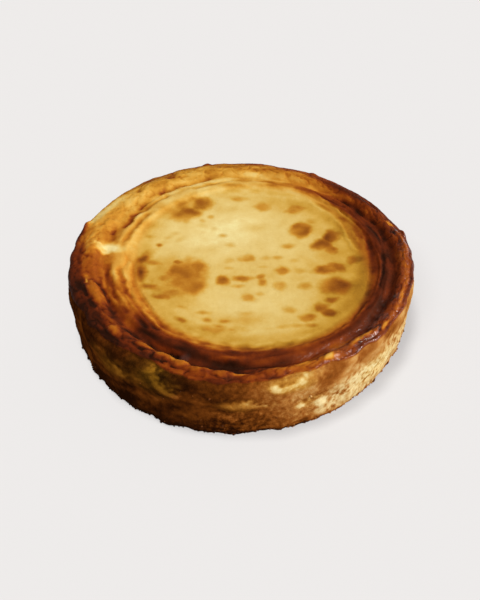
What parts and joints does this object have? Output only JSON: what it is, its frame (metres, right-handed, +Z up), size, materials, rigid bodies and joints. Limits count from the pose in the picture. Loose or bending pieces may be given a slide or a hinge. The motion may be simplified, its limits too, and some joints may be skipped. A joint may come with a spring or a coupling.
{
  "type": "baked cheesecake",
  "caption": "Whole round baked cheesecake with a sunken browned-spot top inside a raised folded rim, standing on a flat base.",
  "frame": {"origin": "middle of the flat base, on the surface that the cake stands on", "axes": "+Z up through the cake; -Y towards the front, the side with the deep crease inside the rim; +X to the right of the front"},
  "size_m": [0.2405, 0.2387, 0.05],
  "materials": {
    "baked_curd": "satin"
  },
  "bodies": {
    "root": {"cheesecake": "baked_curd"}
  },
  "joints": []
}
